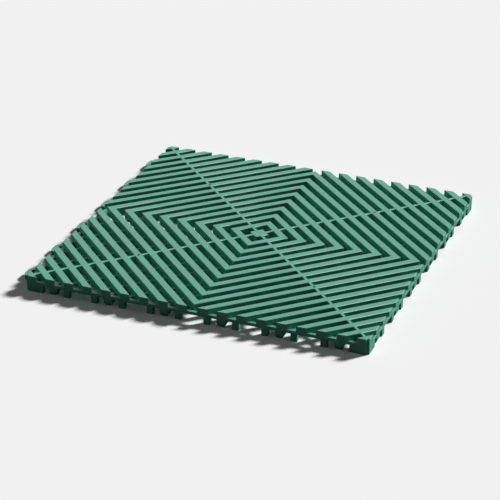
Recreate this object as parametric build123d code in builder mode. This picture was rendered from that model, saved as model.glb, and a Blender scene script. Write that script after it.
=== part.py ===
"""Interlocking drainage tile, moulded in one piece.

A square grille of slats stands on short legs. The slats run as square rings turned by 45 degrees, one
inside the other, so that they meet in mitres on the lines to the middle of each side. Thin spines on the
two diagonals and lower cross ribs tie the slats together, and a thin rail ties their ends along each side.
Two sides carry pegs under the rail, and the other two carry loops that reach under the next tile and take
its pegs. Millimetres, +Z up, with the origin on the floor under the middle of the tile.
"""

from build123d import *
import os
from math import sqrt

# Overall size
tile_side = 300.0
tile_height = 14.0

# Grille: the first slat is measured from the tile's centre to its centre line
first_slat = 16.0
slat_pitch = 12.0
slat_width = 6.0
slat_depth = 7.4
centre_pad = 12.0
spine_width = 2.4
cross_rib_spacing = 20.2
cross_rib_width = 2.4
gate_dimple_radius = 1.2
gate_dimple_depth = 1.5

# Edge: a rail along each side, as high as the ribs, feet under it in groups of three, and a notched angle at
# each corner
rail_height = 2.8
rail_thickness = 3.0
groups_per_side = 6
guard_foot_width = 5.6
guard_foot_depth = 4.0
guard_foot_offset = 12.4
corner_leg_length = 16.0
corner_leg_thickness = 3.6
corner_notch = 2.0

# Interlock: the middle foot of each group is a peg on two sides, and the root of a loop on the others
peg_width = 7.5
peg_depth = 7.5
peg_lead_in = 3.0
peg_lead_in_angle = 25.0
joint_clearance = 0.5
loop_wall = 3.5
loop_height = 4.4
loop_tip_radius = 5.0
loop_hole_radius = 1.0
loop_root_depth = 4.0

# Inner legs: one under every third slat, at every second cross rib
leg_width = 5.0
slats_per_leg = 3
first_leg_slat = 1
ribs_per_leg = 2
leg_free_edge = 20.0

half_side = tile_side / 2
half_diagonal = tile_side / sqrt(2)
underside = tile_height - slat_depth
rail_top = underside + rail_height

group_pitch = tile_side / groups_per_side
group_places = [(index + 0.5) * group_pitch - half_side for index in range(groups_per_side)]
guard_limit = half_side - corner_leg_length - guard_foot_width / 2
guard_places = [place + side * guard_foot_offset for place in group_places for side in (-1, 1)]
guard_places = [place for place in guard_places if abs(place) < guard_limit]

slat_count = int((half_diagonal - first_slat + slat_width / 2) / slat_pitch) + 1
slat_places = [first_slat + index * slat_pitch for index in range(slat_count)]
first_cut_slat = min(place for place in slat_places if place * sqrt(2) > half_side)
rib_count = int((half_diagonal / 2 - cross_rib_width) / cross_rib_spacing)

loop_hole_width = peg_width + 2 * joint_clearance
loop_hole_depth = peg_depth + 2 * joint_clearance
loop_width = loop_hole_width + 2 * loop_wall
loop_reach = loop_hole_depth + loop_wall

# Turns of the plan that bring the side at -Y, or the quarter towards +X, to each place where it is needed
peg_sides = (0, 90)
loop_sides = (180, 270)
quarters = (45, 135, 225, 315)


def turned(turn, x, y):
    """A place in the plan, turned about the tile's centre together with what stands there."""
    return Location((0, 0, 0), (0, 0, turn)) * Location((x, y, 0))


def along_sides(turns, places, depth):
    """The same places along each of the sides, a distance in from the side's face."""
    return [turned(turn, place, depth - half_side) for turn in turns for place in places]


def leg_spots():
    """Crossings of slats and ribs that carry a leg, clear of the edge, in all four quarters."""
    spots = []
    for slat_place in slat_places[first_leg_slat::slats_per_leg]:
        for rib_index in range(-ribs_per_leg * rib_count, ribs_per_leg * rib_count + 1, ribs_per_leg):
            rib_place = rib_index * cross_rib_spacing
            reach = (slat_place + abs(rib_place)) / sqrt(2)
            if abs(rib_place) < slat_place and reach < half_side - leg_free_edge:
                spots += [turned(turn, slat_place, rib_place) for turn in quarters]
    return spots


with BuildPart() as drainage_tile:
    # Pegs on two sides, tapered at the tip as a lead-in
    with BuildSketch(Plane.XY.offset(peg_lead_in)) as peg_plan:
        with Locations(*along_sides(peg_sides, group_places, peg_depth / 2)):
            Rectangle(peg_width, peg_depth)
    extrude(amount=-peg_lead_in, taper=peg_lead_in_angle)
    extrude(peg_plan.sketch, amount=rail_top - peg_lead_in)

    # Guard feet on all sides, and the roots of the loops on two, up to the rail's top
    with BuildSketch():
        with Locations(*along_sides(peg_sides + loop_sides, guard_places, guard_foot_depth / 2)):
            Rectangle(guard_foot_width, guard_foot_depth)
        with Locations(*along_sides(loop_sides, group_places, loop_root_depth / 2)):
            Rectangle(loop_width, loop_root_depth)
    extrude(amount=rail_top)

    # Loops low on the outside of two sides
    with BuildSketch():
        with Locations(*along_sides(loop_sides, group_places, 0)):
            Rectangle(loop_width, loop_reach, align=(Align.CENTER, Align.MAX))
        tips = vertices().filter_by(lambda v: max(abs(v.X), abs(v.Y)) > half_side + loop_wall)
        fillet(tips, radius=loop_tip_radius)
        with Locations(*along_sides(loop_sides, group_places, -loop_hole_depth / 2)):
            RectangleRounded(loop_hole_width, loop_hole_depth, loop_hole_radius, mode=Mode.SUBTRACT)
    extrude(amount=loop_height)

    # Corner angles
    corner_spots = [turned(turn, -half_side, -half_side) for turn in peg_sides + loop_sides]
    with BuildSketch():
        with Locations(*corner_spots):
            Rectangle(corner_leg_length, corner_leg_thickness, align=Align.MIN)
        with Locations(*corner_spots):
            Rectangle(corner_leg_thickness, corner_leg_length, align=Align.MIN)
    extrude(amount=rail_top)

    # Edge rail, and the cross ribs square to the slats, from the mitres out to the sides
    with BuildSketch(Plane.XY.offset(underside)):
        Rectangle(tile_side, tile_side)
        Rectangle(tile_side - 2 * rail_thickness, tile_side - 2 * rail_thickness, mode=Mode.SUBTRACT)
        for index in range(1, rib_count + 1):
            place = index * cross_rib_spacing
            start = place + first_slat / 2
            end = half_diagonal - place
            middle = (start + end) / 2
            with Locations(*[turned(turn, middle, s * place) for turn in quarters for s in (-1, 1)]):
                Rectangle(end - start, cross_rib_width)
        Rectangle(tile_side, tile_side, mode=Mode.INTERSECT)
    extrude(amount=rail_height)

    # Inner legs, from the floor into the slats
    with BuildSketch():
        with Locations(*leg_spots()):
            Rectangle(leg_width, leg_width)
        Rectangle(leg_width, leg_width, rotation=45)
    extrude(amount=rail_top)

    # Slats, spines and centre pad, up to the walking surface
    with BuildSketch(Plane.XY.offset(underside)):
        for place in reversed(slat_places):
            outer = 2 * place + slat_width
            inner = 2 * place - slat_width
            Rectangle(outer, outer, rotation=45)
            Rectangle(inner, inner, rotation=45, mode=Mode.SUBTRACT)
        with Locations(*[turned(turn, 0, 0) for turn in quarters[:2]]):
            Rectangle(2 * half_diagonal, spine_width)
        Rectangle(centre_pad, centre_pad, rotation=45)
        Rectangle(tile_side, tile_side, mode=Mode.INTERSECT)
    extrude(amount=slat_depth)

    # Notch down each corner edge
    with BuildSketch():
        with Locations(*corner_spots):
            Rectangle(corner_notch, corner_notch, align=Align.MIN)
    extrude(amount=tile_height, mode=Mode.SUBTRACT)

    # Moulding dimple on each spine, at the first slat that the sides cut
    with BuildSketch(Plane.XY.offset(tile_height)):
        with Locations(*[turned(turn, first_cut_slat, 0) for turn in quarters]):
            Circle(gate_dimple_radius)
    extrude(amount=-gate_dimple_depth, mode=Mode.SUBTRACT)
drainage_tile.part.label = "drainage_tile"

os.makedirs("parts", exist_ok=True)
export_step(drainage_tile.part, "parts/drainage_tile.step")
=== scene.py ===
"""Interlocking drainage tile of green moulded plastic, lying flat on a pale floor."""

import math

import bmesh
import bpy
import numpy as np
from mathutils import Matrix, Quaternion, Vector
from mathutils.geometry import delaunay_2d_cdt


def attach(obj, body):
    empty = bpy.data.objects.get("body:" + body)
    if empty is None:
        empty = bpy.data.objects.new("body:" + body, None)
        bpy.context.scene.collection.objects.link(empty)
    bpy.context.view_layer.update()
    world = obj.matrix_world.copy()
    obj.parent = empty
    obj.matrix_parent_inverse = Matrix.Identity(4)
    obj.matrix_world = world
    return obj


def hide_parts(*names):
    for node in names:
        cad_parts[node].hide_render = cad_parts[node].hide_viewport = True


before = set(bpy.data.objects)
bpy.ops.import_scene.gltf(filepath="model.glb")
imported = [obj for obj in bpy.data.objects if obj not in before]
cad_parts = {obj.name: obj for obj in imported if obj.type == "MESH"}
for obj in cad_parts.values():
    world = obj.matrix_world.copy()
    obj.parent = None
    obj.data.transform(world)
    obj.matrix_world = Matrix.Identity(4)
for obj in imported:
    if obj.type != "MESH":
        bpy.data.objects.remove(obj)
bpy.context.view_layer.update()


# The tile is one injection moulding in green plastic, with the satin skin that the mould's steel leaves.
# The skin is even, with a fine grain and faint flow clouding, which also changes its polish a little.
tile_green = (0.082, 0.335, 0.24)
tile_green_pale = (0.1, 0.365, 0.268)
tile_green_deep = (0.066, 0.302, 0.212)
cloud_per_metre = 16.0
cloud_detail = 4.0
cloud_roughness = 0.6
cloud_contrast = 1.6
cloud_offset = 0.3
speck_per_metre = 420.0
speck_share = 0.5
grain_per_metre = 3200.0
grain_depth = 0.00003
grain_strength = 0.35
fine_detail = 2.0
skin_roughness = 0.28
cloud_dulling = 0.16
speck_dulling = 0.06
plastic_ior = 1.49
plastic_specular = 0.5


class Wire:
    """One socket of a shader tree; arithmetic between wires and numbers adds Math nodes to that tree."""

    def __init__(self, tree, socket=None):
        self.tree = tree
        self.socket = socket

    def node(self, kind, settings, sockets, out=0):
        """Adds a node, sets its settings first and then its sockets, and gives one output as a wire."""
        made = self.tree.nodes.new("ShaderNode" + kind)
        for name, value in settings.items():
            setattr(made, name, value)
        for name, value in sockets.items():
            if isinstance(value, Wire):
                self.tree.links.new(value.socket, made.inputs[name])
            else:
                made.inputs[name].default_value = value
        return None if out is None else Wire(self.tree, made.outputs[out])

    def finish(self, shader, kind="OutputMaterial"):
        """Makes a shader the surface that the material or the world shows."""
        self.node(kind, {}, {"Surface": shader}, None)

    def combine(self, operation, first, second):
        """Adds a Math node on two wires or numbers."""
        return self.node("Math", {"operation": operation}, {0: first, 1: second})

    def __add__(self, other):
        return self.combine("ADD", self, other)

    def __radd__(self, other):
        return self.combine("ADD", other, self)

    def __sub__(self, other):
        return self.combine("SUBTRACT", self, other)

    def __rsub__(self, other):
        return self.combine("SUBTRACT", other, self)

    def __mul__(self, other):
        return self.combine("MULTIPLY", self, other)

    def __rmul__(self, other):
        return self.combine("MULTIPLY", other, self)


def new_material(name):
    """An empty material, and the wire from which its nodes are made."""
    material = bpy.data.materials.new(name)
    material.use_nodes = True
    material.node_tree.nodes.clear()
    return material, Wire(material.node_tree)


def opaque(colour):
    """A colour with full alpha, as the shader's colour sockets take it."""
    return (*colour, 1.0)


green_plastic, wire = new_material("green_plastic")
place = wire.node("TexCoord", {}, {}, "Object")
cloud = wire.node("TexNoise", {}, {"Vector": place, "Scale": cloud_per_metre, "Detail": cloud_detail,
                                   "Roughness": cloud_roughness})
speck = wire.node("TexNoise", {}, {"Vector": place, "Scale": speck_per_metre, "Detail": fine_detail})
grain = wire.node("TexNoise", {}, {"Vector": place, "Scale": grain_per_metre, "Detail": fine_detail})
clouded = wire.node("Mix", {"data_type": "RGBA"}, {0: cloud * cloud_contrast - cloud_offset,
                                                   6: opaque(tile_green_deep), 7: opaque(tile_green_pale)}, 2)
colour = wire.node("Mix", {"data_type": "RGBA"},
                   {0: speck * speck_share, 6: clouded, 7: opaque(tile_green)}, 2)
skin = wire.node("Bump", {}, {"Strength": grain_strength, "Distance": grain_depth, "Height": grain})
polish = skin_roughness + cloud * cloud_dulling + speck * speck_dulling
plastic = wire.node("BsdfPrincipled", {}, {"Base Color": colour, "Roughness": polish, "IOR": plastic_ior,
                                           "Specular IOR Level": plastic_specular, "Normal": skin})
wire.finish(plastic)

# The mould leaves no knife edge: the edges above and outside have a small round, with sizes in millimetres.
# The solid's triangles are joined into whole faces, each round is a bevel along a convex edge, and the flat
# faces are then filled again with Delaunay triangles.
edge_round = 0.3
round_steps = 2
round_profile = 0.5
shortest_rounded = 1.2
walking_surface = 14.0
side_face = 150.0
touching = 0.01
merged_within = 0.001
millimetre = 0.001
same_plane = math.radians(0.2)
same_face = math.radians(1.0)
curved_wall = math.radians(25.0)
sharp_edge = math.radians(50.0)
fill_whole_hull = 0
fill_tolerance = 1e-6


def shows(edge):
    """Whether an edge reaches the walking surface, or lies in or beyond the face of a side."""
    top = max(vertex.co.z for vertex in edge.verts)
    out = min(max(abs(vertex.co.x), abs(vertex.co.y)) for vertex in edge.verts)
    return top > walking_surface - touching or out > side_face - touching


def take_flat(waiting):
    """Takes one face out of those waiting, with all that join it in its plane."""
    flat = [waiting.popitem()[0]]
    for face in flat:
        for edge in face.edges:
            if edge.calc_face_angle(math.pi) < same_plane:
                joined = [other for other in edge.link_faces if other in waiting]
                flat += joined
                for other in joined:
                    del waiting[other]
    return flat


def refill(flat):
    """Fills the outline of several faces in one plane again with Delaunay triangles. A triangle is inside the
    outline where a line from its middle towards +X crosses the outline an odd number of times. The faces stay
    as they are where the fill would add or merge points."""
    inside = set(flat)
    outline = [edge for face in flat for edge in face.edges if not inside.issuperset(edge.link_faces)]
    points = list(dict.fromkeys(vertex for edge in outline for vertex in edge.verts))
    number = {vertex: index for index, vertex in enumerate(points)}
    pairs = [[number[vertex] for vertex in edge.verts] for edge in outline]
    level = flat[0].normal.to_track_quat("Z", "Y").inverted()
    spots = [(level @ vertex.co).xy for vertex in points]
    filled, _, fills, sources, _, _ = delaunay_2d_cdt(spots, pairs, [], fill_whole_hull, fill_tolerance)
    if len(filled) != len(points):
        return
    triangles = np.array([[sources[corner][0] for corner in triangle] for triangle in fills])
    spots = np.array(spots)
    start, end = spots[np.array(pairs)].transpose(1, 0, 2)
    middle = spots[triangles].mean(axis=1)[:, None]
    passed = (start[:, 1] > middle[..., 1]) != (end[:, 1] > middle[..., 1])
    rise = np.where(start[:, 1] == end[:, 1], 1.0, end[:, 1] - start[:, 1])
    crossing = start[:, 0] + (middle[..., 1] - start[:, 1]) / rise * (end[:, 0] - start[:, 0])
    ahead = crossing > middle[..., 0]
    smooth = flat[0].smooth
    bmesh.ops.delete(solid, geom=flat, context="FACES")
    for triangle in triangles[np.sum(passed & ahead, axis=1) % 2 == 1]:
        solid.faces.new([points[corner] for corner in triangle]).smooth = smooth


solid = bmesh.new()
solid.from_mesh(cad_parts["drainage_tile"].data)
bmesh.ops.scale(solid, vec=(1.0 / millimetre,) * 3, verts=solid.verts)
bmesh.ops.remove_doubles(solid, verts=solid.verts, dist=merged_within)
bmesh.ops.dissolve_limit(solid, angle_limit=same_face, verts=solid.verts, edges=solid.edges)
outer_edges = [edge for edge in solid.edges if edge.calc_face_angle_signed(0.0) > sharp_edge
               and edge.calc_length() > shortest_rounded and shows(edge)]
for face in solid.faces:
    face.smooth = any(same_face < edge.calc_face_angle(0.0) < curved_wall for edge in face.edges)
rounds = bmesh.ops.bevel(solid, geom=outer_edges, affect="EDGES", offset=edge_round, offset_type="OFFSET",
                         segments=round_steps, profile=round_profile, clamp_overlap=False)["faces"]
for face in rounds:
    face.smooth = True
solid.normal_update()
waiting = dict.fromkeys(solid.faces)
while waiting:
    flat = take_flat(waiting)
    if len(flat) > 1:
        refill(flat)
bmesh.ops.scale(solid, vec=(millimetre,) * 3, verts=solid.verts)
tile_mesh = bpy.data.meshes.new("drainage_tile_rounded")
solid.to_mesh(tile_mesh)
solid.free()
tile_mesh.materials.append(green_plastic)
tile = bpy.data.objects.new("drainage_tile_rounded", tile_mesh)
bpy.context.scene.collection.objects.link(tile)
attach(tile, "root")
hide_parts("drainage_tile")


# The floor is a plain pale sheet, wide enough to fill the view. It throws back less light than it shows, so
# that the tile's sides keep their shade.
floor_seen = (0.96, 0.96, 0.96)
floor_glow = 0.01
floor_thrown = (0.12, 0.12, 0.12)
floor_half = 4.0
pale_floor, wire = new_material("pale_floor")
matt_seen = wire.node("AddShader", {}, {0: wire.node("BsdfDiffuse", {}, {"Color": opaque(floor_seen)}),
                                        1: wire.node("Emission", {}, {"Strength": floor_glow})})
matt_thrown = wire.node("BsdfDiffuse", {}, {"Color": opaque(floor_thrown)})
seen = wire.node("LightPath", {}, {}, "Is Camera Ray")
wire.finish(wire.node("MixShader", {}, {0: seen, 1: matt_thrown, 2: matt_seen}))
floor_mesh = bpy.data.meshes.new("floor")
floor_mesh.from_pydata([(-floor_half, -floor_half, 0.0), (floor_half, -floor_half, 0.0),
                        (floor_half, floor_half, 0.0), (-floor_half, floor_half, 0.0)], [], [(0, 1, 2, 3)])
floor = bpy.data.objects.new("floor", floor_mesh)
floor.data.materials.append(pale_floor)
bpy.context.scene.collection.objects.link(floor)


# The studio light is one broad lamp behind the tile on the right, with a pale room around it. The camera and
# reflections see the room as white, and it gives a little fill.
key_from = Vector((0.545, 0.65, 0.53))
key_power = 4.9
key_spread = math.radians(10.0)
room_white = (1.0, 1.0, 1.0)
room_level = 0.08
room_level_seen = 1.0
key = bpy.data.objects.new("key_light", bpy.data.lights.new("key_light", "SUN"))
key.data.energy = key_power
key.data.angle = key_spread
key.rotation_euler = key_from.to_track_quat("Z", "Y").to_euler()
bpy.context.scene.collection.objects.link(key)
room = bpy.data.worlds.new("room")
room.use_nodes = True
room.node_tree.nodes.clear()
wire = Wire(room.node_tree)
seen = wire.node("LightPath", {}, {}, "Is Camera Ray")
mirrored = wire.node("LightPath", {}, {}, "Is Glossy Ray")
fill = wire.node("Background", {}, {"Color": opaque(room_white), "Strength": room_level})
white = wire.node("Background", {}, {"Color": opaque(room_white), "Strength": room_level_seen})
wire.finish(wire.node("MixShader", {}, {0: seen + mirrored, 1: fill, 2: white}), "OutputWorld")
bpy.context.scene.world = room


# The camera looks down at the tile from its front right, from a long way off, and is rolled very slightly
# about its own line of sight.
view_azimuth = math.radians(21.21)
view_elevation = math.radians(25.79)
view_roll = math.radians(0.46)
view_distance = 1.7195
view_target = Vector((-0.0046, -0.0099, 0.0013))
view_lens = 142.6
view_sensor = 36.0
towards = Vector((math.sin(view_azimuth) * math.cos(view_elevation),
                  -math.cos(view_azimuth) * math.cos(view_elevation), math.sin(view_elevation)))
aim = towards.to_track_quat("Z", "Y") @ Quaternion((0.0, 0.0, 1.0), view_roll)
camera = bpy.data.objects.new("camera", bpy.data.cameras.new("camera"))
camera.data.lens = view_lens
camera.data.sensor_width = view_sensor
camera.location = view_target + towards * view_distance
camera.rotation_euler = aim.to_euler()
bpy.context.scene.collection.objects.link(camera)
bpy.context.scene.camera = camera
bpy.context.scene.view_settings.view_transform = "Standard"
